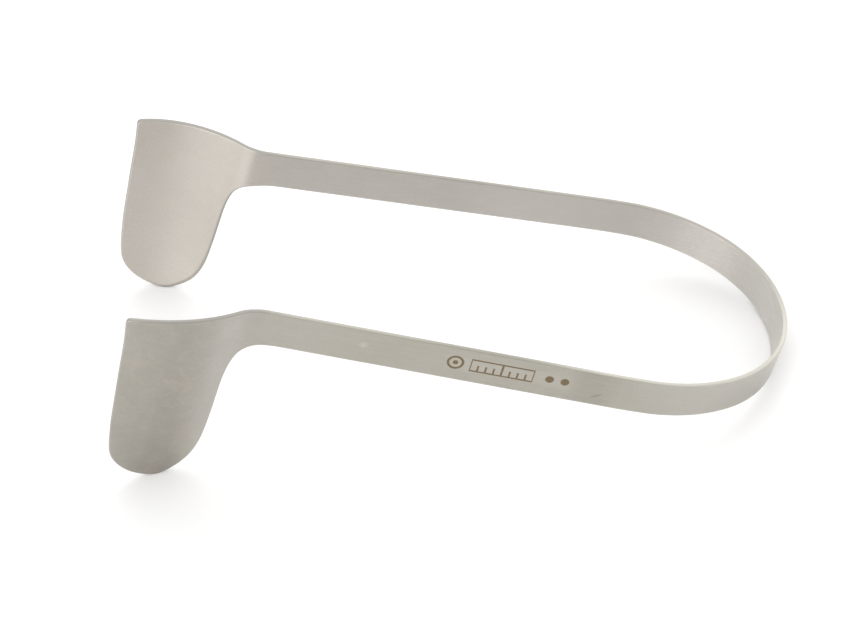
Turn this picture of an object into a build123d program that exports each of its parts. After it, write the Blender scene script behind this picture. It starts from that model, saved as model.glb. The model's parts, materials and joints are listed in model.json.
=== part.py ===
from build123d import *
import os
from math import sin, cos, radians

# One-piece spring cheek retractor: a flat steel strip stood on edge and bent
# into a narrow U.  The bow of the U is the spring; each arm ends in a cheek
# blade that hangs down from the strip.
#
# Frame (millimetres): the strip's width runs along Z, with its upper edges in
# the plane Z = 0 and everything else below.  The origin is the middle of the
# strip's thickness at the crown of the bow.  +X runs from the bow to the
# blades, +Y is the left arm, and the object is symmetric about Y = 0.

# strip stock
strip_width = 8.5
strip_thickness = 1.05
half_thickness = strip_thickness / 2
edge_round = 0.3  # long edges and blade rim

# centreline of the left half, from the crown to the neck; headings are in
# degrees from +X
start_heading = 90.0
centreline_arcs = [  # (radius, end heading)
    (26.75, 31.5),  # crown
    (36.3, 0.4),  # shoulder
    (160.0, -2.45),  # easing; the straight arms then close towards the blades
]
neck_x = 111.0  # where the strip turns outwards into the blade
stub_length = 4.0  # straight strip kept with the blade

# flexure stations, measured along the centreline from the crown
station_bow = 14.0
station_shoulder = 36.0
station_arm_root = 62.0
station_arm_mid = 92.0
knuckle_clearance = 0.03
lip_setback = 0.3  # the socket's lips stop this far short of the axis


# ------------------------------- plan curves -------------------------------
# Both curve classes give ((x, y), heading) at a distance from their start,
# offset to the left of the heading, which is the outside of the left arm.
# Headings inside them are in radians.
class Arc:
    """Circular arc: a positive radius turns right, a negative one left."""

    def __init__(self, x, y, heading, length, radius):
        self.heading, self.length, self.radius = heading, length, radius
        self.center_x = x + radius * sin(heading)
        self.center_y = y - radius * cos(heading)

    def at(self, distance, offset=0.0):
        heading = self.heading - distance / self.radius
        reach = self.radius + offset
        x = self.center_x - reach * sin(heading)
        y = self.center_y + reach * cos(heading)
        return (x, y), heading


class Straight:
    def __init__(self, x, y, heading, length):
        self.x, self.y, self.heading, self.length = x, y, heading, length

    def at(self, distance, offset=0.0):
        x = self.x + distance * cos(self.heading) - offset * sin(self.heading)
        y = self.y + distance * sin(self.heading) + offset * cos(self.heading)
        return (x, y), self.heading


def build_centreline():
    pieces, x, y, heading = [], 0.0, 0.0, radians(start_heading)
    for radius, end_heading in centreline_arcs:
        length = radius * (heading - radians(end_heading))
        pieces.append(Arc(x, y, heading, length, radius))
        (x, y), heading = pieces[-1].at(length)
    pieces.append(Straight(x, y, heading, (neck_x - x) / cos(heading)))
    return pieces


centreline = build_centreline()
piece_starts = [sum(p.length for p in centreline[:i]) for i in range(len(centreline))]
arm = centreline[-1]
station_neck = piece_starts[-1] + arm.length
# plane of the flat joint between arm and blade
joint_x = neck_x - stub_length * cos(arm.heading)


def centre_at(station, offset=0.0):
    i = max(k for k in range(len(centreline)) if station >= piece_starts[k] - 1e-9)
    return centreline[i].at(station - piece_starts[i], offset)


def edges_between(first, last, offset):
    """Exact offset edges of the centreline between two stations."""
    edges = []
    for piece, start in zip(centreline, piece_starts):
        begin, end = max(first, start), min(last, start + piece.length)
        if end - begin < 1e-6:
            continue

        def point(station):
            return Vector(*piece.at(station - start, offset)[0])

        if isinstance(piece, Arc):
            middle = point((begin + end) / 2)
            edges.append(Edge.make_three_point_arc(point(begin), middle, point(end)))
        else:
            edges.append(Edge.make_line(point(begin), point(end)))
    return edges


# ------------------------------ strip sections -----------------------------
def mirrored_edges(edges):
    return [e.mirror(Plane.XZ) for e in edges]


def extrude_strip(edges):
    """Extrude a plan outline through the strip's width."""
    face = Face(Wire(edges))
    if face.normal_at().Z < 0:
        face = -face
    return extrude(face, amount=-strip_width, dir=(0, 0, 1))


def round_long_edges(body):
    """Round the edges that lie flat in the strip's upper and lower planes."""
    long_edges = [
        e
        for e in body.edges()
        if e.length > 3.0
        and (abs(e.center().Z) < 1e-4 or abs(e.center().Z + strip_width) < 1e-4)
        and abs(e.bounding_box().size.Z) < 1e-4
    ]
    return fillet(long_edges, edge_round)


def socket_tool(station, side=1):
    """Cylinder that cuts the socket at a flexure; side is 1 left, -1 right."""
    (x, y), _ = centre_at(station)
    return Pos(x, side * y, -strip_width / 2) * Cylinder(
        half_thickness + knuckle_clearance, strip_width + 2
    )


def knuckle_edge(station):
    """Half-round nose, centred on the flexure axis, facing back to the crown."""
    outer, heading = centre_at(station, half_thickness)
    inner, _ = centre_at(station, -half_thickness)
    (x, y), _ = centre_at(station)
    back = (x - half_thickness * cos(heading), y - half_thickness * sin(heading))
    return Edge.make_three_point_arc(Vector(*inner), Vector(*back), Vector(*outer))


def largest_solid(shape):
    return shape.solids().sort_by(SortBy.VOLUME)[-1]


def section(first, last, flat_end_x=None):
    """Left-hand strip between two stations, with a nose at the first.

    It ends in a socket, or in a flat face square to X if flat_end_x is given.
    """
    socket = flat_end_x is None
    end = last - lip_setback if socket else last
    outer = edges_between(first, end, half_thickness)
    inner = edges_between(first, end, -half_thickness)
    end_edge = Edge.make_line(outer[-1] @ 1, inner[-1] @ 1)
    body = extrude_strip(outer + [end_edge] + inner + [knuckle_edge(first)])
    if not socket:
        keep_size = 200  # box that takes in all of the strip behind the flat end
        body = body & Pos(flat_end_x - keep_size / 2, 0, 0) * Box(keep_size, keep_size, 60)
    body = round_long_edges(body)
    if socket:
        body = body - socket_tool(last)
    return largest_solid(body)


def make_crown():
    """Middle of the bow, across Y = 0, with a socket at each end."""
    outer = edges_between(0, station_bow - lip_setback, half_thickness)
    inner = edges_between(0, station_bow - lip_setback, -half_thickness)
    sides = outer + mirrored_edges(outer) + inner + mirrored_edges(inner)
    left_end = Edge.make_line(outer[-1] @ 1, inner[-1] @ 1)
    crown = extrude_strip(sides + [left_end] + mirrored_edges([left_end]))
    crown = round_long_edges(crown)
    crown = crown - socket_tool(station_bow) - socket_tool(station_bow, -1)
    return largest_solid(crown)


# ------------------------------- cheek blade -------------------------------
# The left blade is laid out by "along", the distance from the neck on its
# plan curve, and by z.
neck_bend_radius = 10.0
neck_bend_angle = 35.0
cheek_radius = 32.3  # plan curvature, hollow side towards the middle
toe_curl_start = 24.0  # depth below the upper edge where the toe turns in
toe_curl_radius = 150.0
curl_start = 0.4  # along
curl_run_in = 8.5  # the curl fades in over this much of the plan curve

bend_length = neck_bend_radius * radians(neck_bend_angle)
skin_end = 32.4  # along, just past the blade's front edge

# grid on which the skins are fitted, closer together round the neck bend
bend_steps = 6
cheek_steps = 18
cheek_rows_start = 3.4  # past the bend, where the even cheek rows begin
cheek_step = (skin_end - bend_length - cheek_rows_start) / cheek_steps
along_rows = [-stub_length - 1.5, -3.6, -1.8, -0.6]
along_rows += [bend_length * k / bend_steps for k in range(bend_steps + 1)]
along_rows += [bend_length + past for past in (0.5, 1.2, 2.2, cheek_rows_start)]
along_rows += [
    bend_length + cheek_rows_start + cheek_step * (k + 1) for k in range(cheek_steps)
]
skin_top = 1.5
skin_height = 49.5
z_steps = 22
z_rows = [skin_top - skin_height * k / z_steps for k in range(z_steps + 1)]

# blade outline, clockwise seen with +X to the right and Z up: (along, z)
top_line = [
    (0.8, -0.01), (2.6, -0.03), (7.7, -0.10), (14.1, -0.36), (20.5, -0.82), (28.3, -1.85),
]
front_edge = [(29.15, -3.0), (28.75, -7.4), (28.4, -14.6), (27.98, -22.8), (27.54, -30.1)]
toe = [
    (26.94, -35.6), (25.8, -40.15), (22.86, -43.3), (18.9, -44.8), (15.4, -44.75),
    (12.45, -42.9), (9.7, -39.85), (8.05, -35.7), (7.3, -30.2),
]
rear_edge = [
    (6.93, -24.8), (6.64, -19.4), (5.84, -14.35), (4.19, -11.1), (1.66, -9.42), (-1.2, -8.68),
]
top_lead_in = [(-2.5, 0.0), (-1.0, 0.0)]  # holds the top line to the arm's edge
top_end_direction = Vector(1, 0, -0.19)

(neck_start_x, neck_start_y), neck_heading = centre_at(station_neck)
neck_bend = Arc(neck_start_x, neck_start_y, neck_heading, bend_length, -neck_bend_radius)
(cheek_x, cheek_y), cheek_heading = neck_bend.at(bend_length)
cheek = Arc(cheek_x, cheek_y, cheek_heading, skin_end - bend_length, cheek_radius)


def blade_plan(along, offset=0.0):
    """Plan position (x, y) on the blade, ahead of any curl."""
    if along <= 0:
        return arm.at(arm.length + along, offset)[0]
    if along <= bend_length:
        return neck_bend.at(along, offset)[0]
    return cheek.at(along - bend_length, offset)[0]


def curl(along, z):
    """Inward curl of the toe, zero on the strip and on the upper part."""
    blend = min(max((along - curl_start) / curl_run_in, 0.0), 1.0)
    blend = blend * blend * (3 - 2 * blend)
    below = max(-z - toe_curl_start, 0.0)
    return -blend * below**2 / (2 * toe_curl_radius)


def skin_point(along, z, offset):
    x, y = blade_plan(along, offset)
    return Vector(x, y + curl(along, z), z)


def skin(offset):
    return Face.make_surface_from_array_of_points(
        [[skin_point(along, z, offset) for z in z_rows] for along in along_rows],
        tol=0.002,
        min_deg=3,
        max_deg=5,
    )


def blade_block():
    """Solid between the two skins over the whole grid."""
    outer, inner = skin(half_thickness), skin(-half_thickness)

    def border(face, rank):
        return sorted(face.edges(), key=rank)[-1]

    ranks = (
        lambda e: e.center().X,
        lambda e: -e.center().X,
        lambda e: e.center().Z,
        lambda e: -e.center().Z,
    )
    sides = [
        Face.make_surface_from_curves(border(outer, rank), border(inner, rank))
        for rank in ranks
    ]
    return Solid(Shell([outer, inner] + sides))


def outline_prism():
    """Blade outline in the XZ plane, extruded through the blade along Y."""

    def outline_points(table):
        return [Vector(blade_plan(along)[0], 0, z) for along, z in table]

    joint_top = Vector(joint_x, 0, 0)
    joint_bottom = Vector(joint_x, 0, -strip_width)
    top = [joint_top] + outline_points(top_lead_in + top_line)
    rest = outline_points(front_edge + toe + rear_edge)
    edges = [
        Edge.make_spline(top, tangents=[Vector(1, 0, 0), top_end_direction]),
        Edge.make_tangent_arc(top[-1], top_end_direction, rest[0]),
        Edge.make_spline(
            rest + [joint_bottom],
            tangents=[Vector(-0.1, 0, -1), Vector(-1, 0, 0)],
        ),
        Edge.make_line(joint_bottom, joint_top),
    ]
    return extrude(Face(Wire(edges)), amount=60, dir=(0, 1, 0))


def make_blade():
    blade = largest_solid(blade_block() & outline_prism())
    # leave the edges of the flat joint face and the short edges sharp
    rim = [
        e
        for e in blade.edges()
        if e.bounding_box().max.X > joint_x + 1e-3 and e.length > 1.5
    ]
    return fillet(rim, edge_round).solids()[0]


# -------------------------------- write out --------------------------------
left_parts = {
    "bow_rear": section(station_bow, station_shoulder),
    "bow_shoulder": section(station_shoulder, station_arm_root),
    "arm_rear": section(station_arm_root, station_arm_mid),
    "arm_front": section(station_arm_mid, station_neck, flat_end_x=joint_x),
    "cheek_blade": make_blade(),
}
nodes = {"bow_crown": make_crown()}
for name, body in left_parts.items():
    nodes[f"{name}_left"] = body
    nodes[f"{name}_right"] = mirror(body, about=Plane.XZ)

os.makedirs("parts", exist_ok=True)
for name, body in nodes.items():
    export_step(body, f"parts/{name}.step")
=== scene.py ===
"""A continuous U-shaped strip of satin spring steel that ends in two cheek blades.

The bow's crown stands at x = 0 and the arms run towards +X, the left one on the +Y side. The strip
stands on edge: its top is z = 0 and its width goes down. Each point of it has strip coordinates in
millimetres: run (from the crown along the middle surface), z, and off (from the middle surface
across the thickness, positive towards the outside of the U).
"""
import json
import math
from types import SimpleNamespace

import bpy
import numpy as np
from mathutils import Matrix, Vector


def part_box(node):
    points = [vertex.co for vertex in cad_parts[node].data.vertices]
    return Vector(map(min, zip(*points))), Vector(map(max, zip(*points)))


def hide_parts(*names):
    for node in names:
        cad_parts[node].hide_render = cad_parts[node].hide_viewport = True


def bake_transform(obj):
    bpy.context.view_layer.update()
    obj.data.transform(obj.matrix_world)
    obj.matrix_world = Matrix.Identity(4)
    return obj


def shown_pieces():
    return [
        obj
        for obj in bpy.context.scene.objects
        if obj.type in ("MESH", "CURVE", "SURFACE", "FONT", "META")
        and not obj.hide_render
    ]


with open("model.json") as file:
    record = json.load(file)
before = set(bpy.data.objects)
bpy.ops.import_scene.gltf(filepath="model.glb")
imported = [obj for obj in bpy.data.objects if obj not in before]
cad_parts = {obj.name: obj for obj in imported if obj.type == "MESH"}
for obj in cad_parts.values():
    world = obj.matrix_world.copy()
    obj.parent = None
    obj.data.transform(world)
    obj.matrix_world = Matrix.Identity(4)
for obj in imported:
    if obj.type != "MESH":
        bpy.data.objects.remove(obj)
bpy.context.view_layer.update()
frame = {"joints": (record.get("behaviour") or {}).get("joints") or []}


MM = 0.001

# ------------------------ driving sizes, millimetres ------------------------
crown_low, crown_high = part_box("bow_crown")
WIDTH = (crown_high.z - crown_low.z) / MM
THICK = 1.05
HALF = THICK / 2
ROUND = 0.3                                     # radius of the rounded long edges
FLAT = HALF - ROUND                             # half of the flat left between two rounds
CROWN_R, CROWN_END = 26.75, math.radians(31.5)  # radii, and the headings where the arcs end
SHOULDER_R, SHOULDER_END = 36.3, math.radians(0.4)
EASING_R, ARM_HEADING = 160.0, math.radians(-2.45)
NECK_X = 111.0                                  # where the straight arm ends
BEND_R, BEND_ANGLE = 10.0, math.radians(35.0)
CHEEK_R = 32.3
# the blade curls inwards below CURL_START, fading in over CURL_RUN from CURL_LEAD past the neck
CURL_START, CURL_R, CURL_RUN, CURL_LEAD = 24.0, 150.0, 8.5, 0.4

# The plan curve: signed radius (positive turns left, None is straight) and heading at the end.
PLAN = [
    (-CROWN_R, CROWN_END),
    (-SHOULDER_R, SHOULDER_END),
    (-EASING_R, ARM_HEADING),
    (None, ARM_HEADING),
    (BEND_R, ARM_HEADING + BEND_ANGLE),
    (-CHEEK_R, None),                           # runs on to the free edge
]


def advance(x, y, heading, radius, distance):
    """Plan position and heading at a distance into one arc or straight."""
    if radius is None:
        return x + distance * np.cos(heading), y + distance * np.sin(heading), heading
    turned = heading + distance / radius
    return (
        x + radius * (np.sin(turned) - np.sin(heading)),
        y - radius * (np.cos(turned) - np.cos(heading)),
        turned,
    )


def plan_pieces():
    """Run at the start of each piece, and the pieces as (x, y, heading, radius)."""
    starts, pieces = [], []
    run, x, y, heading = 0.0, 0.0, 0.0, math.pi / 2
    for radius, end in PLAN:
        starts.append(run)
        pieces.append((x, y, heading, radius))
        if end is None:
            break
        if radius is None:
            length = (NECK_X - x) / math.cos(heading)
        else:
            length = radius * (end - heading)
        x, y, heading = advance(x, y, heading, radius, length)
        run += length
    return starts, pieces


STARTS, PIECES = plan_pieces()
NECK_RUN = STARTS[4]


def centre(run):
    """Middle surface in plan: arrays of x, y and heading."""
    run = np.atleast_1d(np.asarray(run, float))
    x, y, heading = np.zeros((3, len(run)))
    which = np.searchsorted(STARTS, run, side="right") - 1
    for k, piece in enumerate(PIECES):
        here = which == k
        x[here], y[here], heading[here] = advance(*piece, run[here] - STARTS[k])
    return x, y, heading


def smooth(x):
    return x * x * (3 - 2 * x)


def curl(run, z):
    below = np.maximum(-z - CURL_START, 0.0)
    return -smooth(np.clip((run - NECK_RUN - CURL_LEAD) / CURL_RUN, 0, 1)) * below**2 / (2 * CURL_R)


def place(run, z, off, side):
    """Strip coordinates to metres; side is 1 for the left half and -1 for the right."""
    x, y, heading = centre(run)
    y = y + off * np.cos(heading) + curl(run, z)
    return np.stack([x - off * np.sin(heading), side * y, z], 1) * MM


def unit(vectors):
    return vectors / np.linalg.norm(vectors, axis=1)[:, None]


def surface_normals(run, z, off, side, turn):
    """Unit normals; turn holds their parts across the thickness, along the strip and along z."""
    step = 0.01
    behind = np.maximum(run - step, 0.0)
    by_run = place(run + step, z, off, side) - place(behind, z, off, side)
    by_z = place(run, z + step, off, side) - place(run, z - step, off, side)
    by_off = place(run, z, off + step, side) - place(run, z, off - step, side)
    across = np.cross(by_run, by_z)
    across *= np.sign((across * by_off).sum(1))[:, None]
    parts = zip(turn.T, (across, by_run, by_z))
    return unit(sum(share[:, None] * unit(axis) for share, axis in parts))


# ------------- blade outline: (run past the neck, z), millimetres -------------
TOP_LINE = [
    (-4.0, 0.0), (-2.5, 0.0), (-1.0, 0.0), (0.8, -0.01), (2.6, -0.03), (7.7, -0.10),
    (14.1, -0.36), (20.5, -0.82), (28.3, -1.85),
]
FREE_LINE = [
    (29.15, -3.0), (28.75, -7.4), (28.4, -14.6), (27.98, -22.8), (27.54, -30.1),
    (26.94, -35.6), (25.8, -40.15), (22.86, -43.3), (18.9, -44.8),
]
REAR_LINE = [
    (15.4, -44.75), (12.45, -42.9), (9.7, -39.85), (8.05, -35.7), (7.3, -30.2), (6.93, -24.8),
    (6.64, -19.4), (5.84, -14.35), (4.19, -11.1), (1.66, -9.42), (-1.2, -8.68), (-4.0, -8.5),
]
# headings of the outline on either side of the corner between top and free edge
TOP_END = np.array([1, -0.19]) / math.hypot(1, 0.19)
FREE_START = np.array([-0.1, -1]) / math.hypot(0.1, 1)
CORNER_STEPS = 30
CORNER_PULL = 0.4368                            # handle length as a part of the corner's chord

N_LENGTH, N_WIDTH = 92, 52                      # blade cells along the top and down the free edge
RINGS = [0.44, 0.60, 0.78]                      # insets of the border rows inside the rounded edge
INNERMOST = RINGS[-1]
# the inner skin is rubbed down near the toe: depth, and the power of its fade inwards
RUB_DEPTH, RUB_POWER = 0.12, 1.6
RUB_SPAN, RUB_SHARE = [-9, 3, 13, 27], [0.0, 0.75, 0.75, 0.0]  # along the outline, from the toe


def lengths_along(line):
    return np.concatenate([[0], np.cumsum(np.hypot(*np.diff(line, axis=0).T))])


def read_line(stops, lengths, line):
    return np.stack([np.interp(stops, lengths, line[:, k]) for k in (0, 1)], 1)


def cubic(points, count, start, end):
    """A clamped cubic spline through points, sampled evenly along its length."""
    points = np.array(points, float)
    knots = lengths_along(points)
    size = len(points)
    matrix, wanted = np.zeros((size, size)), np.zeros((size, 2))
    gap = np.diff(knots)
    chord = np.diff(points, axis=0) / gap[:, None]
    for i in range(1, size - 1):
        matrix[i, i - 1 : i + 2] = gap[i], 2 * (gap[i - 1] + gap[i]), gap[i - 1]
        wanted[i] = 3 * (gap[i] * chord[i - 1] + gap[i - 1] * chord[i])
    for i, heading in ((0, start), (-1, end)):
        matrix[i, i] = 1
        wanted[i] = np.array(heading) / np.hypot(*heading)
    slopes = np.linalg.solve(matrix, wanted)

    stops = np.linspace(0, knots[-1], 2000)
    i = np.clip(np.searchsorted(knots, stops, side="right") - 1, 0, size - 2)
    part = ((stops - knots[i]) / gap[i])[:, None]
    span = gap[i][:, None]
    dense = (
        (2 * part**3 - 3 * part**2 + 1) * points[i]
        + (part**3 - 2 * part**2 + part) * span * slopes[i]
        + (-2 * part**3 + 3 * part**2) * points[i + 1]
        + (part**3 - part**2) * span * slopes[i + 1]
    )
    lengths = lengths_along(dense)
    return read_line(np.linspace(0, lengths[-1], count), lengths, dense)


def blade_boundary():
    """Top, free edge and rear edge as one polyline, and the number of its corner point."""
    top = cubic(TOP_LINE, 600, start=(1, 0), end=TOP_END)
    rest = cubic(FREE_LINE + REAR_LINE, 2600, start=FREE_START, end=(-1, 0))
    leave, meet = top[-1], rest[0]
    part = np.linspace(0, 1, CORNER_STEPS)[1:-1, None]
    pull = CORNER_PULL * np.hypot(*(meet - leave))
    handle_a, handle_b = leave + TOP_END * pull, meet - FREE_START * pull
    corner = (
        (1 - part) ** 3 * leave
        + 3 * (1 - part) ** 2 * part * handle_a
        + 3 * (1 - part) * part * part * handle_b
        + part**3 * meet
    )
    return np.concatenate([top, corner, rest]), len(top) + len(corner) // 2


def boundary_normals(line):
    """Smoothed normals left of travel: outwards, as the line runs clockwise."""
    step = np.gradient(line, axis=0)
    normals = np.stack([-step[:, 1], step[:, 0]], 1)
    for _ in range(12):
        normals[1:-1] = 0.25 * normals[:-2] + 0.5 * normals[1:-1] + 0.25 * normals[2:]
    return unit(normals)


def stations_between(start, end, count, corner):
    """count + 1 stations, closer together near the corner."""
    fine = np.linspace(start, end, 4000)
    density = 1 + 3.2 * np.exp(-(((fine - corner) / 1.3) ** 2))
    total = np.concatenate([[0], np.cumsum((density[1:] + density[:-1]) / 2)])
    return np.interp(np.linspace(0, total[-1], count + 1), total, fine)


def coons_patch(top, bottom, start, end):
    """A grid of points between four border lines."""
    a = np.linspace(0, 1, N_LENGTH + 1)[:, None, None]
    b = np.linspace(0, 1, N_WIDTH + 1)[None, :, None]
    return (1 - b) * top[:, None] + b * bottom[:, None] + (1 - a) * start + a * end - (
        (1 - a) * (1 - b) * top[0] + a * (1 - b) * top[-1]
        + (1 - a) * b * bottom[0] + a * b * bottom[-1]
    )


def relax(grid):
    """Evens out the inside of the grid without letting it fold at the hollow corner."""
    for _ in range(2000):
        left, right, above, below = grid[:-2, 1:-1], grid[2:, 1:-1], grid[1:-1, :-2], grid[1:-1, 2:]
        by_a, by_b = (right - left) / 2, (below - above) / 2
        along, across = (by_b**2).sum(-1)[..., None], (by_a**2).sum(-1)[..., None]
        skew = (by_a * by_b).sum(-1)[..., None]
        twist = grid[2:, 2:] - grid[2:, :-2] - grid[:-2, 2:] + grid[:-2, :-2]
        aim = along * (right + left) + across * (below + above) - 0.5 * skew * twist
        grid[1:-1, 1:-1] += 0.8 * (aim / (2 * (along + across)) - grid[1:-1, 1:-1])


def blade_grid():
    """The skins' grid, the outline points with their normals, and how rubbed down each one is."""
    line, corner_point = blade_boundary()
    lengths = lengths_along(line)
    corner, toe = lengths[corner_point], lengths[np.argmin(line[:, 1])]
    stops = np.concatenate([
        stations_between(0, corner, N_LENGTH, corner),
        stations_between(corner, toe, N_WIDTH, corner)[1:],
        stations_between(toe, lengths[-1], N_LENGTH, corner)[1:],
    ])
    points = read_line(stops, lengths, line)
    normals = unit(read_line(stops, lengths, boundary_normals(line)))
    normals[0], normals[-1] = (0, 1), (0, -1)
    inset = points - normals * INNERMOST
    top = inset[: N_LENGTH + 1]
    free = inset[N_LENGTH : N_LENGTH + N_WIDTH + 1]
    rear = inset[N_LENGTH + N_WIDTH :][::-1]
    joint = np.linspace(top[0, 1], rear[0, 1], N_WIDTH + 1)
    joint = np.stack([np.full(N_WIDTH + 1, top[0, 0]), joint], 1)
    grid = coons_patch(top, rear, joint, free)
    relax(grid)
    rub = smooth(np.interp(stops, [toe + q for q in RUB_SPAN], RUB_SHARE))
    return grid, points, normals, rub


# ------------------------------ mesh building ------------------------------
N_CORNER, N_FLAT = 6, 2                         # cells round each corner and across the flat
STEP_BOW, STEP_ARM = 0.45, 0.6                  # longest cell along the strip
UV_PER_MM = 0.01
INWARDS = (-1.0, 0.0, 0.0)                      # a turn, as surface_normals takes it


def rim_section():
    """Insets and offs across the thickness, from the outer skin to just before the inner one."""
    angles = [math.pi / 2 * k / N_CORNER for k in range(1, N_CORNER + 1)]
    outer = [(ROUND - ROUND * math.sin(a), FLAT + ROUND * math.cos(a)) for a in angles]
    flat = [(0.0, FLAT * (1 - 2 * k / N_FLAT)) for k in range(1, N_FLAT)]
    inner = [(inset, -off) for inset, off in reversed(outer)]
    return np.array(outer + flat + inner).T[:, None, :]


RIM_INSET, RIM_OFF = rim_section()
EDGEWISE = 1 - RIM_INSET / ROUND                # how much the rim faces away from the skins
# share of the edge tone and roughness at each rim point; the edge tone holds painted highlight and
# painted shade
RIM_TONE_SHARE = 0.35 + 0.65 * EDGEWISE
# how much the rim faces across the thickness
SKINWISE = np.sign(RIM_OFF) * np.clip((np.abs(RIM_OFF) - FLAT) / ROUND, 0, 1)
ACROSS = np.concatenate([[HALF], RIM_OFF[0], [-HALF]])[None, :]
# z of the rows across a plain stretch of strip
ROWS = np.concatenate([
    [-ROUND], [-q for q in RINGS[:-1]],
    np.linspace(-INNERMOST, -WIDTH + INNERMOST, N_WIDTH + 1),
    [-WIDTH + q for q in RINGS[:-1][::-1]], [-WIDTH + ROUND],
])[None, :]


class Builder:
    """Collects vertices as (run, z, off, rim, turn) and faces with their UV corners."""

    def __init__(self, side):
        self.side = side
        self.points, self.faces, self.uvs, self.caps = [], [], [], []

    def add(self, run, z, off, rim, turn=(1.0, 0.0, 0.0)):
        """Adds a grid of vertices and gives their numbers on the same grid."""
        values = np.broadcast_arrays(run, z, off, rim, *turn)
        start = sum(len(q) for q in self.points)
        self.points.append(np.stack([q.ravel() for q in values], 1).astype(float))
        return start + np.arange(values[0].size).reshape(values[0].shape)

    def quads(self, grid, u, v, flip=False):
        def corners(q):
            return [q[:-1, :-1], q[1:, :-1], q[1:, 1:], q[:-1, 1:]]

        faces = np.stack(corners(grid), -1).reshape(-1, 4)
        uvs = np.stack(corners(np.stack(np.broadcast_arrays(u, v), -1)), -2).reshape(-1, 4, 2)
        if flip:
            faces, uvs = faces[:, ::-1], uvs[:, ::-1]
        self.faces += faces.tolist()
        self.uvs += uvs.tolist()

    def cap(self, row, outer, inner, top, bottom, flip=False):
        """Closes the strip's section at the first or last row with one sharp-edged face."""
        ring = np.concatenate([outer[row], bottom[row], inner[row][::-1], top[row][::-1]])
        if flip:
            ring = ring[::-1]
        points = np.concatenate(self.points)[ring]
        self.faces.append(ring.tolist())
        self.uvs.append(np.stack([points[:, 2], -points[:, 1]], 1).tolist())
        self.caps.append(set(ring.tolist()))

    def sheets(self, stations):
        """Plain strip over these stations: grids of outer skin, inner skin, top and bottom rim."""
        run = stations[:, None]
        return (
            self.add(run, ROWS, HALF, 0.0),
            self.add(run, ROWS, -HALF, 0.0, INWARDS),
            self.add(run, -RIM_INSET, RIM_OFF, RIM_TONE_SHARE, (SKINWISE, 0.0, EDGEWISE)),
            self.add(run, -WIDTH + RIM_INSET, RIM_OFF, RIM_TONE_SHARE, (SKINWISE, 0.0, -EDGEWISE)),
        )

    def strip_faces(self, stations, outer, inner, top, bottom):
        run = stations[:, None]
        self.quads(outer, run, -ROWS, flip=True)
        self.quads(inner, run, -ROWS)
        top = np.concatenate([outer[:, :1], top, inner[:, :1]], 1)
        bottom = np.concatenate([outer[:, -1:], bottom, inner[:, -1:]], 1)
        self.quads(top, run, -(HALF - ACROSS))
        self.quads(bottom, run, WIDTH + HALF - ACROSS, flip=True)

    def mesh(self, name, material):
        values = np.concatenate(self.points)
        run, z, off, rim = values[:, :4].T
        order = 1 if self.side < 0 else -1
        me = bpy.data.meshes.new(name)
        corners = [tuple(q) for q in place(run, z, off, self.side)]
        me.from_pydata(corners, [], [face[::order] for face in self.faces])
        uvs = np.array([uv for face in self.uvs for uv in face[::order]], np.float32) * UV_PER_MM
        me.uv_layers.new(name="strip").data.foreach_set("uv", uvs.ravel())
        attributes = {
            "strip_s": run * self.side, "strip_z": z, "strip_off": off / HALF, "rim": rim,
        }
        for key, value in attributes.items():
            attribute = me.attributes.new(key, "FLOAT", "POINT")
            attribute.data.foreach_set("value", value.astype(np.float32))
        me.polygons.foreach_set("use_smooth", [True] * len(me.polygons))
        for edge in me.edges:
            if any(set(edge.vertices) <= ring for ring in self.caps):
                edge.use_edge_sharp = True
        me.materials.append(material)
        me.update()
        me.validate()
        # the true normals of skins and rims; zero leaves the end caps their own
        normals = surface_normals(run, z, off, self.side, values[:, 4:])
        loops = []
        for face in me.polygons:
            is_cap = len(face.vertices) > 4
            loops += [(0.0, 0.0, 0.0) if is_cap else tuple(normals[v]) for v in face.vertices]
        me.normals_split_custom_set(loops)
        piece = bpy.data.objects.new(name, me)
        bpy.context.scene.collection.objects.link(piece)
        return piece


def spaced(start, end, step):
    return np.linspace(start, end, max(2, int(math.ceil((end - start) / step)) + 1))


def strip_piece(name, side, start, end, material):
    builder = Builder(side)
    stations = spaced(start, end, STEP_BOW if end < 55 else STEP_ARM)
    sheets = builder.sheets(stations)
    builder.strip_faces(stations, *sheets)
    builder.cap(0, *sheets)
    builder.cap(-1, *sheets, flip=True)
    return builder.mesh(name, material)


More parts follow.
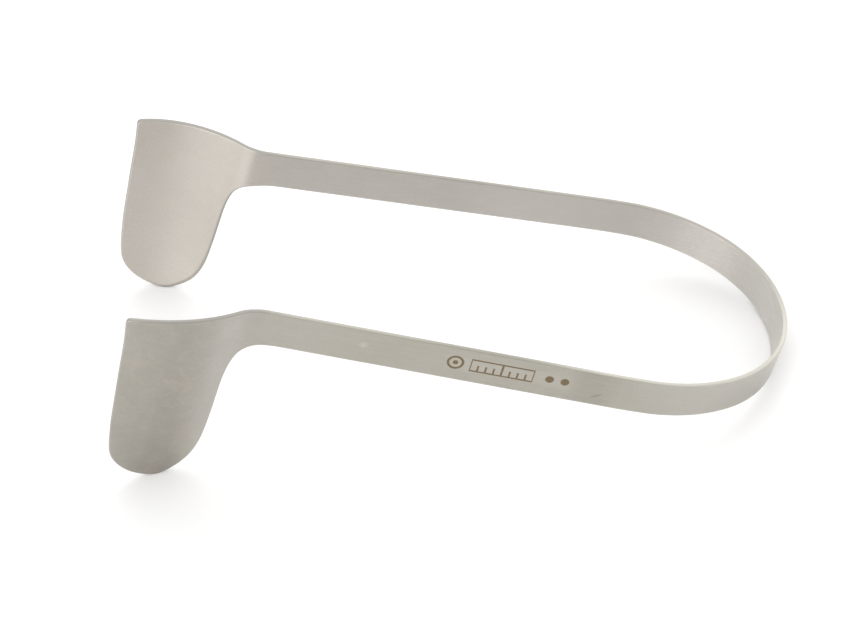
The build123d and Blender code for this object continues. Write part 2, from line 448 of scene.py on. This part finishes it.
def blade_piece(name, side, start, material):
    """The front of the arm, the neck and the cheek blade, as one closed mesh."""
    builder = Builder(side)
    grid, points, normals, rub = blade_grid()
    rub = rub[:, None]
    normal_run, normal_z = normals[:, :1], normals[:, 1:]
    join = NECK_RUN + grid[0, 0, 0]
    stations = spaced(start, join, STEP_ARM)
    outer, inner, top, bottom = builder.sheets(stations[:-1])

    # the rounded rim; its inner corner follows the rubbed-down skin
    rim_points = points[:, None, :] - normals[:, None, :] * RIM_INSET[..., None]
    rim_low = RUB_DEPTH * rub * np.clip(-RIM_OFF / HALF, 0, 1) ** 2
    rim = builder.add(
        NECK_RUN + rim_points[..., 0], rim_points[..., 1], RIM_OFF + rim_low, RIM_TONE_SHARE,
        (SKINWISE, EDGEWISE * normal_run, EDGEWISE * normal_z),
    )

    # border rows of both skins; the last row is the grid's own border
    rows = np.array([ROUND] + RINGS)[None, :]
    border_points = points[:, None, :] - normals[:, None, :] * rows[..., None]
    border_run, border_z = NECK_RUN + border_points[..., 0], border_points[..., 1]
    fade_width = INNERMOST - ROUND
    fade = (INNERMOST - rows[:, :-1]) / fade_width
    low = RUB_DEPTH * rub * fade**RUB_POWER
    fall = RUB_DEPTH * RUB_POWER / fade_width * rub * fade ** (RUB_POWER - 1)
    ring_outer = builder.add(border_run[:, :-1], border_z[:, :-1], HALF, 0.0)
    ring_inner = builder.add(
        border_run[:, :-1], border_z[:, :-1], -HALF + low, 0.35 * rub,
        (-1.0, fall * normal_run, fall * normal_z),
    )
    grid_run, grid_z = NECK_RUN + grid[..., 0], grid[..., 1]
    grid_outer = builder.add(grid_run, grid_z, HALF, 0.0)
    grid_inner = builder.add(grid_run, grid_z, -HALF, 0.0, INWARDS)

    # the strip up to the joint, sewn to the blade's rows
    def with_joint(sheet, ring, cells):
        return np.concatenate([sheet, np.concatenate([ring[0], cells[0], ring[-1][::-1]])[None, :]])

    builder.strip_faces(
        stations,
        with_joint(outer, ring_outer, grid_outer), with_joint(inner, ring_inner, grid_inner),
        np.concatenate([top, rim[:1]]), np.concatenate([bottom, rim[-1:]]),
    )
    builder.quads(grid_outer, grid_run, -grid_z, flip=True)
    builder.quads(grid_inner, grid_run, -grid_z)
    for ring, cells, flip in ((ring_outer, grid_outer, True), (ring_inner, grid_inner, False)):
        border = np.concatenate([cells[:, 0], cells[-1, 1:], cells[::-1, -1][1:]])
        builder.quads(np.concatenate([ring, border[:, None]], 1), border_run, -border_z, flip)
    edge = np.concatenate([ring_outer[:, :1], rim, ring_inner[:, :1]], 1)
    spread = HALF - ACROSS
    builder.quads(
        edge, NECK_RUN + points[:, :1] + normal_run * spread, -(points[:, 1:] + normal_z * spread),
    )
    builder.cap(0, outer, inner, top, bottom)
    return builder.mesh(name, material)


# ------------------------------- shader nodes -------------------------------
def empty_tree(owner):
    owner.use_nodes = True
    owner.node_tree.nodes.clear()
    return owner.node_tree


def add_node(tree, kind, inputs=None, **settings):
    """A node; inputs maps its sockets to wires, which are linked, or to plain values."""
    node = tree.nodes.new(kind)
    for name, value in settings.items():
        setattr(node, name, value)
    for key, value in (inputs or {}).items():
        if isinstance(value, Wire):
            tree.links.new(value.socket, node.inputs[key])
        else:
            node.inputs[key].default_value = value
    return node


class Wire:
    """A node's output. Arithmetic on it adds Math nodes, the methods add other nodes."""

    def __init__(self, node, output=0):
        self.tree, self.socket = node.id_data, node.outputs[output]

    def new(self, kind, inputs, output=0, **settings):
        return Wire(add_node(self.tree, kind, inputs, **settings), output)

    def math(self, operation, first, second=0.0):
        inputs = {0: first, 1: second, 2: 0.0}
        return self.new("ShaderNodeMath", inputs, operation=operation)

    def __add__(self, other):
        return self.math("ADD", self, other)

    def __radd__(self, other):
        return self.math("ADD", other, self)

    def __sub__(self, other):
        return self.math("SUBTRACT", self, other)

    def __rsub__(self, other):
        return self.math("SUBTRACT", other, self)

    def __mul__(self, other):
        return self.math("MULTIPLY", self, other)

    def __truediv__(self, other):
        return self.math("DIVIDE", self, other)

    def __abs__(self):
        return self.math("ABSOLUTE", self)

    def maximum(self, other):
        return self.math("MAXIMUM", self, other)

    def ramp(self, span, out=(0.0, 1.0)):
        """Goes smoothly from out[0] to out[1] as the value crosses span."""
        inputs = {
            "Value": self, "From Min": span[0], "From Max": span[1],
            "To Min": out[0], "To Max": out[1],
        }
        return self.new("ShaderNodeMapRange", inputs, "Result", interpolation_type="SMOOTHSTEP")

    def band(self, span, soft):
        """1 inside span, 0 outside, with soft ends."""
        low, high = span
        rise = self.ramp((low - soft, low + soft))
        return rise * self.ramp((high - soft, high + soft), out=(1.0, 0.0))

    def lerp(self, at0, at1):
        return self.new("ShaderNodeMix", {0: self, 2: at0, 3: at1}, data_type="FLOAT")

    def mix(self, at0, at1):
        """Mixes two colours, each a wire or an RGB tuple."""
        at0, at1 = ((*q, 1.0) if isinstance(q, tuple) else q for q in (at0, at1))
        return self.new("ShaderNodeMix", {0: self, 6: at0, 7: at1}, 2, data_type="RGBA")

    def noise(self, detail, rough, distort=0.0, scale=1.0):
        inputs = {
            "Vector": self, "Scale": scale, "Detail": detail,
            "Roughness": rough, "Distortion": distort,
        }
        return self.new("ShaderNodeTexNoise", inputs, "Fac")


def pattern(x, y, scale, layer, shift=None, **look):
    """Noise with its own scale along x and y; layer and shift pick another part of it."""
    y = y * scale[1]
    if shift is not None:
        y = y + shift
    return x.new("ShaderNodeCombineXYZ", {0: x * scale[0], 1: y, 2: layer}).noise(**look)


def tint(base, mask, strength, rgb):
    return (mask * strength).mix(base, rgb)


# ---------------------------------- steel ----------------------------------
def strip_wires(tree):
    """Where a point lies on the strip, and the masks and noises that several layers share."""
    run, z, off, rim = (
        Wire(add_node(tree, "ShaderNodeAttribute", attribute_name=name), "Fac")
        for name in ("strip_s", "strip_z", "strip_off", "rim")
    )
    shift = off * 37.0                          # the two skins get different scratches
    along = abs(run)                            # run is negative on the right half
    facing = off.ramp(span=(-0.2, 0.2))         # 1 on the outer skin, 0 on the inner
    on_blade = along.ramp(span=(121.0, 131.0))
    single = pattern(run, z, scale=(0.35, 6.5), layer=17.0, shift=shift, detail=1.0, rough=0.4)
    return SimpleNamespace(
        run=run, z=z, off=off, rim=rim, shift=shift, along=along, facing=facing, on_blade=on_blade,
        past_neck=along - NECK_RUN,
        inner_blade=on_blade * (1.0 - facing),
        # brushed grain: long along the strip, fine across it
        grain=pattern(run, z, scale=(0.22, 9.0), layer=0.0, shift=shift, detail=4.0, rough=0.62),
        broad=pattern(run, z, scale=(0.06, 3.2), layer=4.0, shift=shift, detail=3.0, rough=0.55),
        speck=pattern(run, z, scale=(3.1, 3.1), layer=shift + 31.0, detail=2.0, rough=0.6),
        scratch=single.ramp(span=(0.68, 0.76)),
    )


def ground_colour(at):
    """Cloudy steel, cooler on the inner skin, with painted sheen that lightens the bow and more so
    the crown.
    """
    cloud = pattern(
        at.run, at.z, scale=(0.10, 0.16), layer=at.off * 3.0, detail=3.0, rough=0.55, distort=0.6,
    )
    warm = cloud.mix((0.452, 0.428, 0.368), (0.505, 0.482, 0.424))
    cool = cloud.mix((0.490, 0.460, 0.425), (0.545, 0.518, 0.482))
    base = at.facing.mix(cool, warm)
    # painted sheen: the bow is lightened, more on its outer skin
    bow = at.along.ramp(span=(32.0, 60.0), out=(1.0, 0.0))
    base = tint(base, bow, strength=at.facing.lerp(at0=0.37, at1=0.50), rgb=(0.720, 0.700, 0.665))
    # painted sheen: the crown is lightened further, most on its outer skin
    crown = at.along.ramp(span=(6.0, 22.0), out=(1.0, 0.0))
    return tint(
        base, crown, strength=at.facing.lerp(at0=0.42, at1=0.72), rgb=(0.860, 0.840, 0.805),
    )


def outer_blade_colour(base, at):
    """The blades' outer faces: painted shade, heaviest in the middle and towards the free edge,
    with broad stains.
    """
    # painted shade: the outer faces are darkened in the middle and towards the free edge
    middle = at.past_neck.band(span=(13.5, 20.5), soft=4.2)
    free_edge_shade = at.past_neck.ramp(span=(18.0, 25.0), out=(0.0, 0.21))
    blade_shade = 0.04 + (middle * 0.31 + free_edge_shade)   # painted shade: a little everywhere, then what the middle adds
    stain = pattern(
        at.along, at.z, scale=(0.14, 0.15), layer=at.shift + 61.0,
        detail=4.0, rough=0.6, distort=0.5,
    )
    for strength, rgb in (
        (blade_shade, (0.264, 0.247, 0.241)),
        (stain.ramp(span=(0.50, 0.66), out=(0.0, 0.30)), (0.520, 0.452, 0.402)),    # brownish
        (stain.ramp(span=(0.32, 0.48), out=(0.22, 0.0)), (0.352, 0.345, 0.345)),    # cool
    ):
        base = tint(base, at.on_blade * at.facing, strength, rgb)
    return base


def stretch_colour(base, at):
    """Painted highlights at the neck bends, a darker stretch of the left arm and a lighter one on
    the right arm's inner skin, then painted reflection and a brownish tint on the blades' inner
    faces.
    """
    back = 1.0 - at.facing
    # place along the strip, its span and softness, the skin, strength, colour
    for where, span, soft, skin, strength, rgb in (
        # painted highlight at the neck bends on the outer skin
        (at.along, (112.0, 134.0), 7.0, at.facing, 0.20, (0.580, 0.552, 0.530)),
        (at.along, (131.0, 137.0), 2.5, at.facing, 0.42, (0.600, 0.575, 0.560)),
        # painted highlight across the bend on the inner skin
        (at.along, (127.6, 131.2), 1.6, back, 0.45, (0.760, 0.725, 0.695)),
        (at.run, (55.0, 62.5), 2.5, at.facing, 0.28, (0.250, 0.235, 0.200)),
        (at.run, (-79.0, -53.0), 8.0, back, 0.30, (0.700, 0.672, 0.645)),
    ):
        base = tint(base, where.band(span, soft) * skin, strength, rgb)
    # span past the neck, strength at its two ends, colour
    for span, strengths, rgb in (
        # painted reflection: the inner faces lighter away from the neck
        ((12.0, 26.0), (0.04, 0.40), (0.800, 0.745, 0.690)),
        ((9.0, 17.0), (0.16, 0.0), (0.450, 0.375, 0.320)),
    ):
        base = tint(base, at.inner_blade, at.past_neck.ramp(span, strengths), rgb)
    return base


def hatch_noise(at, scale, layer, detail, span):
    """Streaks tilted against the strip."""
    tilt = 0.62
    ahead = at.run * math.cos(tilt) + at.z * math.sin(tilt)
    aside = at.run * -math.sin(tilt) + at.z * math.cos(tilt)
    return pattern(ahead, aside, scale, layer, at.shift, detail=detail, rough=0.6).ramp(span)


def scratch_colour(base, at):
    """Grain, tilted hatching, level lines, specks, patches and single scratches."""
    streak = at.on_blade.lerp(at0=1.0, at1=0.45)    # straight grain is weaker on the blades
    # noise, its span, weight, colour
    for noise, span, weight, rgb in (
        (at.grain, (0.3, 0.7), 0.34, (0.375, 0.352, 0.318)),
        (at.broad, (0.35, 0.75), 0.26, (0.580, 0.560, 0.525)),
    ):
        base = tint(base, noise.ramp(span) * weight, streak, rgb)

    # hatching: everywhere a little, more on the shoulders' inner skin and on the blades
    rubbed = at.along.band(span=(17.0, 37.0), soft=6.0) * (1.0 - at.facing)
    bright = hatch_noise(at, scale=(0.4, 4.5), layer=23.0, detail=3.0, span=(0.48, 0.72))
    strength = 0.07 + (rubbed * 0.42 + at.on_blade * 0.11)
    base = tint(base, bright, strength, rgb=(0.690, 0.655, 0.620))
    dark = hatch_noise(at, scale=(0.5, 6.0), layer=29.0, detail=2.0, span=(0.50, 0.70))
    base = tint(base, dark, strength=0.03 + rubbed * 0.30, rgb=(0.360, 0.340, 0.318))

    # long level scratches, strongest low on the inner faces
    lines = pattern(
        at.run, at.z, scale=(0.28, 5.2), layer=at.shift + 53.0,
        detail=3.0, rough=0.62, distort=0.15,
    ).ramp(span=(0.56, 0.72))
    low = at.z.ramp(span=(-18.0, -31.0))
    base = tint(
        base, lines * at.inner_blade,
        strength=low.lerp(at0=0.10, at1=0.34), rgb=(0.330, 0.318, 0.300),
    )
    patch = pattern(
        at.run, at.z, scale=(0.33, 0.33), layer=at.shift + 41.0,
        detail=4.0, rough=0.62, distort=0.8,
    )
    # noise, its span, strengths off and on the blades, colour
    for noise, span, off_blade, on_blade, rgb in (
        (at.speck, (0.3, 0.7), 0.16, 0.26, (0.350, 0.335, 0.300)),
        (patch, (0.42, 0.70), 0.10, 0.22, (0.560, 0.520, 0.440)),
    ):
        base = tint(base, noise.ramp(span), at.on_blade.lerp(off_blade, on_blade), rgb)
    return tint(base, at.scratch, strength=streak * 0.25, rgb=(0.660, 0.645, 0.615))


def spot_colour(base, at):
    """A dark smudge and a bright nick on the left arm's outer face."""
    # centre (run, z), radii, raggedness, lean, strength, colour
    for mid_run, mid_z, radius_run, radius_z, ragged, lean, strength, rgb in (
        (57.6, -5.9, 0.8, 1.0, 1.3, 1.3, 0.44, (0.250, 0.235, 0.195)),
        (106.5, -3.7, 1.1, 0.9, 3.0, 0.2, 0.34, (0.720, 0.700, 0.660)),
    ):
        across = ((at.run - mid_run) + (at.z - mid_z) * lean) / radius_run
        down = (at.z - mid_z) / radius_z
        radius = at.run.math("SQRT", across * across + down * down)
        reach = radius + (at.speck - 0.5) * ragged
        spot = reach.ramp(span=(0.35, 1.0), out=(1.0, 0.0)) * at.facing
        base = tint(base, spot, strength, rgb)
    return base


def rim_colour(base, at):
    """The rounded edges: lighter on the bow, darker along the arms, on the right half and on the
    blades; these differences by place are painted highlight and painted shade.
    """
    # painted highlight on the bow's edges, painted shade along the arms' edges
    edge = at.along.ramp(span=(56.0, 76.0)).mix((0.640, 0.622, 0.556), (0.400, 0.385, 0.340))
    edge = at.along.ramp(span=(84.0, 104.0)).mix(edge, (0.500, 0.482, 0.432))
    # painted shade: the right half's edges darker
    right_half_shade = at.run.ramp(span=(8.0, -12.0))
    strength = at.along.ramp(span=(56.0, 76.0), out=(0.95, 0.40))
    edge = tint(edge, right_half_shade, strength, rgb=(0.425, 0.405, 0.360))
    edge = at.on_blade.mix(edge, (0.360, 0.350, 0.325))
    return at.rim.ramp(span=(0.50, 1.0), out=(0.0, 0.80)).mix(base, edge)


# the etched mark on the left arm's outer face, millimetres
MARK_Z, MARK_HALF = -3.8, 1.5                   # middle line and half height
SCALE_SPAN = (71.2, 84.4)                       # the ruled scale, along the strip
TICK_PITCH = 1.65
RING_RUN = 87.5
DOT_RUNS = (67.9, 64.7)
HALO_SPAN = (63.4, 89.4)


def etched_mark(at):
    """Masks of the mark, a ruled scale with a ring and two dots, and of the halo round it."""
    outer = at.off.ramp(span=(0.8, 0.95)) * at.run.ramp(span=(0.0, 1.0))
    height = at.z - MARK_Z

    def radius(mid_run):
        across = at.run - mid_run
        return at.run.math("SQRT", across * across + height * height)

    in_scale = at.run.band(SCALE_SPAN, soft=0.05)
    mark = in_scale * abs(height).band(span=(MARK_HALF - 0.20, MARK_HALF + 0.18), soft=0.05)
    # short and long ticks: pitch, soft edge of the line's half width, top
    for pitch, edge, top in (
        (TICK_PITCH, (0.15, 0.25), MARK_HALF * 0.1),
        (4 * TICK_PITCH, (0.18, 0.28), MARK_HALF),
    ):
        from_tick = at.run.math("PINGPONG", at.run - SCALE_SPAN[0], pitch / 2)
        line = from_tick.ramp(edge, out=(1.0, 0.0)) * in_scale
        mark = mark.maximum(line * height.band(span=(-MARK_HALF, top), soft=0.06))
    mark = mark.maximum(radius(RING_RUN).band(span=(1.25, 1.78), soft=0.06))
    mark = mark.maximum(radius(RING_RUN).ramp(span=(0.50, 0.62), out=(1.0, 0.0)))
    dots = [radius(mid_run).ramp(span=(0.84, 0.96), out=(1.0, 0.0)) for mid_run in DOT_RUNS]
    mark = mark.maximum(dots[0].maximum(dots[1]))
    worn = pattern(at.run, at.z, scale=(2.2, 2.2), layer=3.0, detail=3.0, rough=0.6)
    mark = mark * outer * worn.ramp(span=(0.25, 0.55), out=(0.72, 1.0))
    halo_height = height.band(span=(-MARK_HALF - 0.3, MARK_HALF + 0.3), soft=0.6)
    return mark, at.run.band(HALO_SPAN, soft=0.8) * halo_height * outer


def steel_material():
    material = bpy.data.materials.new("satin_spring_steel")
    tree = empty_tree(material)
    at = strip_wires(tree)
    base = ground_colour(at)
    for layer in (outer_blade_colour, stretch_colour, scratch_colour, spot_colour, rim_colour):
        base = layer(base, at)
    mark, halo = etched_mark(at)
    base = tint(base, halo, strength=0.16, rgb=(0.66, 0.62, 0.55))
    base = tint(base, mark, strength=0.92, rgb=(0.200, 0.140, 0.072))

    # cloudy roughness with some grain, evened out on the rims and in the mark
    cloud = pattern(
        at.run, at.z, scale=(0.45, 0.5), layer=at.off * 3.0 + 7.0,
        detail=3.0, rough=0.6, distort=0.3,
    )
    rough = cloud.lerp(at0=0.38, at1=0.46) + (at.broad - 0.5) * 0.12
    rough = at.rim.lerp(at0=rough, at1=0.50)
    rough = (mark * 0.8).lerp(at0=rough, at1=0.5)

    # relief: two grains stand up, the single scratches cut in
    finest = pattern(
        at.run, at.z, scale=(0.9, 26.0), layer=9.0, shift=at.shift, detail=2.0, rough=0.5,
    )
    relief = at.grain * 0.6 + (finest * 0.35 + at.scratch * -0.4)
    bump = {"Strength": 0.10, "Distance": 0.00002, "Height": relief}
    tangent = add_node(tree, "ShaderNodeTangent", direction_type="UV_MAP", uv_map="strip")
    shader = add_node(tree, "ShaderNodeBsdfPrincipled", {
        "Base Color": base,
        "Metallic": 1.0,
        "Roughness": rough,
        "Anisotropic": 0.6,
        "Anisotropic Rotation": 0.25,
        "Tangent": Wire(tangent),
        "Normal": Wire(add_node(tree, "ShaderNodeBump", bump)),
    })
    add_node(tree, "ShaderNodeOutputMaterial", {"Surface": Wire(shader)})
    return material


STEEL = steel_material()

# ------------------------- the continuous steel strip -----------------------
# run at each flexure joint of the left half
JOINT_RUNS = {
    "bow_flex_left": 14.0, "shoulder_flex_left": 36.0,
    "arm_root_flex_left": 62.0, "arm_mid_flex_left": 92.0,
}
BLEND_MARGIN = 1.0                              # from a piece's rear end to where its bend starts
# Each piece spans one flexure: name, start and end, end of the bend, bodies it joins, CAD nodes it
# replaces. The last piece ends in the blade.
STRIP_PIECES = [
    ("bow_strip", 0.0, 25.0, 24.0, "bow", "bow_rear", ["bow_crown", "bow_rear"]),
    ("shoulder_strip", 25.0, 49.0, 48.0, "bow_rear", "bow_shoulder", ["bow_shoulder"]),
    ("arm_strip", 49.0, 77.0, 76.0, "bow_shoulder", "arm_rear", ["arm_rear"]),
    ("arm_and_cheek_blade", 77.0, None, 107.0, "arm_rear", "arm_front",
     ["arm_front", "cheek_blade"]),
]
UNSIDED = ("bow", "bow_crown")                  # the bodies and nodes that both halves share

joints = {joint["name"]: joint for joint in frame["joints"]}
for joint_name, run in JOINT_RUNS.items():
    x, y, _ = centre(run)
    joint_at = joints[joint_name]["pos_m"]
    if math.hypot(x[0] * MM - joint_at[0], y[0] * MM - joint_at[1]) > 0.0002:
        raise SystemExit(f"the centre line is off joint {joint_name}: {x[0]:.2f} {y[0]:.2f}")


def sided(name, tag):
    return name if name in UNSIDED else f"{name}_{tag}"


for side, tag in ((1, "left"), (-1, "right")):
    for name, start, end, bend_end, rear_body, front_body, nodes in STRIP_PIECES:
        if end is None:
            piece = blade_piece(f"{name}_{tag}", side, start, STEEL)
        else:
            piece = strip_piece(f"{name}_{tag}", side, start, end, STEEL)
        x, y, _ = centre([start + BLEND_MARGIN, bend_end])
        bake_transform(piece)
        for node_name in nodes:
            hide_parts(sided(node_name, tag))


# ---------------------------------- floor ----------------------------------
def resting_plane():
    """Slope and height at x = 0 of the plane that touches both blade tips and the bow."""
    parts = []
    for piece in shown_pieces():
        coords = np.zeros(len(piece.data.vertices) * 3)
        piece.data.vertices.foreach_get("co", coords)
        parts.append(coords.reshape(-1, 3))
    points = np.concatenate(parts)

    def lowest(some, slope):
        return (some[:, 2] + slope * some[:, 0]).min()

    blades, bow = points[points[:, 0] > 0.09], points[points[:, 0] < 0.03]
    low, high = 0.0, 1.0
    for _ in range(60):
        slope = (low + high) / 2
        if lowest(blades, slope) < lowest(bow, slope):
            low = slope
        else:
            high = slope
    slope = (low + high) / 2
    return slope, lowest(points, slope)


def floor_material():
    """White, seen only from above, with a camera-only glow that lightens shadows and distance."""
    material = bpy.data.materials.new("white_sweep")
    tree = empty_tree(material)
    geometry = add_node(tree, "ShaderNodeNewGeometry")
    position = Wire(geometry, "Position")
    local = Wire(add_node(tree, "ShaderNodeTexCoord"), "Object")
    speck = local.noise(scale=40.0, detail=2.0, rough=0.5)
    white = speck.mix((0.93, 0.93, 0.93), (0.945, 0.945, 0.943))
    diffuse = add_node(tree, "ShaderNodeBsdfDiffuse", {"Color": white})

    # glow: under the arms and blades by x and y, behind the crown, and far away (metres)
    split = add_node(tree, "ShaderNodeSeparateXYZ", {0: position})
    x, y = Wire(split, "X"), Wire(split, "Y")
    distance = position.new("ShaderNodeVectorMath", {0: position}, "Value", operation="LENGTH")
    left_side = y.ramp(span=(0.0, 0.018), out=(0.0, 0.10))
    lift = x.ramp(span=(0.008, 0.030)).lerp(at0=left_side, at1=0.10)
    lift = lift + x.ramp(span=(0.003, -0.004), out=(0.0, 0.035))
    lift = lift + distance.ramp(span=(0.30, 1.20), out=(0.0, 0.8))
    camera_ray = Wire(add_node(tree, "ShaderNodeLightPath"), "Is Camera Ray")
    glow = {"Color": (1, 1, 1, 1), "Strength": camera_ray * lift}
    glow = add_node(tree, "ShaderNodeEmission", glow)
    lit = add_node(tree, "ShaderNodeAddShader", {0: Wire(diffuse), 1: Wire(glow)})
    clear = add_node(tree, "ShaderNodeBsdfTransparent")
    shader = add_node(tree, "ShaderNodeMixShader", {
        0: Wire(geometry, "Backfacing"), 1: Wire(lit), 2: Wire(clear),
    })
    add_node(tree, "ShaderNodeOutputMaterial", {"Surface": Wire(shader)})
    return material


FLOOR_HALF, FLOOR_X = 4.0, 0.07                 # half size and middle, metres
slope, drop = resting_plane()
floor_mid = Vector((FLOOR_X, 0, drop - slope * FLOOR_X))
floor_x = Vector((1, 0, -slope)).normalized()
floor_y = Vector((0, 1, 0))
floor_mesh = bpy.data.meshes.new("floor")
floor_mesh.from_pydata([
    tuple(floor_mid + floor_x * i * FLOOR_HALF + floor_y * j * FLOOR_HALF)
    for i, j in ((-1, -1), (1, -1), (1, 1), (-1, 1))
], [], [(0, 1, 2, 3)])
floor = bpy.data.objects.new("floor", floor_mesh)
floor_mesh.materials.append(floor_material())
bpy.context.scene.collection.objects.link(floor)


# ----------------------------- world and lights -----------------------------
def studio_world(floor_up):
    """A white studio: darker towards +Y, brighter low towards the -X, -Y side."""
    world = bpy.data.worlds.new("studio")
    bpy.context.scene.world = world
    tree = empty_tree(world)
    direction = Wire(add_node(tree, "ShaderNodeTexCoord"), "Generated")

    def towards(axis):
        inputs = {0: direction, 1: axis}
        return direction.new("ShaderNodeVectorMath", inputs, "Value", operation="DOT_PRODUCT")

    sky = towards(floor_up).ramp(span=(-0.1, 0.8)).mix((1.03, 1.03, 1.03), (0.95, 0.95, 0.95))
    # axis, span of the cosine to it, colour
    for axis, span, rgb in (
        ((-0.10, 0.99, -0.05), (0.70, 0.99), (0.58, 0.575, 0.56)),
        ((-0.62, -0.75, -0.25), (0.60, 1.0), (1.42, 1.41, 1.40)),
    ):
        sky = towards(axis).ramp(span).mix(sky, rgb)
    camera_ray = Wire(add_node(tree, "ShaderNodeLightPath"), "Is Camera Ray")
    colour = camera_ray.mix(sky, (1, 1, 1))
    background = add_node(tree, "ShaderNodeBackground", {"Color": colour, "Strength": 1.0})
    add_node(tree, "ShaderNodeOutputWorld", {"Surface": Wire(background)})


def area(name, offset, size, power, colour=(1, 1, 1)):
    """A rectangular light at an offset from the product's middle, aimed at that middle."""
    target = Vector((0.07, 0, -0.02))
    where = target + Vector(offset)
    light = bpy.data.lights.new(name, "AREA")
    light.shape = "RECTANGLE"
    light.size, light.size_y = size
    light.energy = power
    light.color = colour
    lamp = bpy.data.objects.new(name, light)
    lamp.location = where
    lamp.rotation_euler = (target - where).to_track_quat("-Z", "Y").to_euler()
    bpy.context.scene.collection.objects.link(lamp)
    return lamp


studio_world(floor_x.cross(floor_y).normalized())
area("back_sweep", offset=(0.20, -0.80, 0.85), size=(1.5, 0.9), power=3.4, colour=(1, 0.995, 0.985))
glint = area(
    "left_softbox", offset=(0.60, 0.70, 0.08), size=(0.75, 0.5), power=3.6,
    colour=(1, 0.985, 0.965),
)
glint.visible_diffuse = False                   # a highlight on the steel only
wash = area("floor_wash", offset=(0.0, 0.0, 1.5), size=(2.2, 2.2), power=3.6)
wash.visible_glossy = False                     # whitens the floor without adding a reflection

# ---------------------------------- camera ----------------------------------
camera = bpy.data.cameras.new("camera")
camera.sensor_fit = "HORIZONTAL"
camera.sensor_width = 36.0
camera.lens = 126.6119578
camera.clip_start, camera.clip_end = 0.01, 20.0
camera_object = bpy.data.objects.new("camera", camera)
right = Vector((-0.970786, 0.036457, 0.237160)).normalized()
forward = Vector((-0.185543, -0.740771, -0.645625)).normalized()
right = (right - forward * right.dot(forward)).normalized()
pose = Matrix((right, right.cross(forward).normalized(), -forward)).transposed().to_4x4()
pose.translation = Vector((0.190760, 0.467828, 0.390199))
camera_object.matrix_world = pose
bpy.context.scene.collection.objects.link(camera_object)
bpy.context.scene.camera = camera_object

view = bpy.context.scene.view_settings
view.view_transform = "Standard"
view.look = "None"
view.exposure = 0.0
view.gamma = 1.0
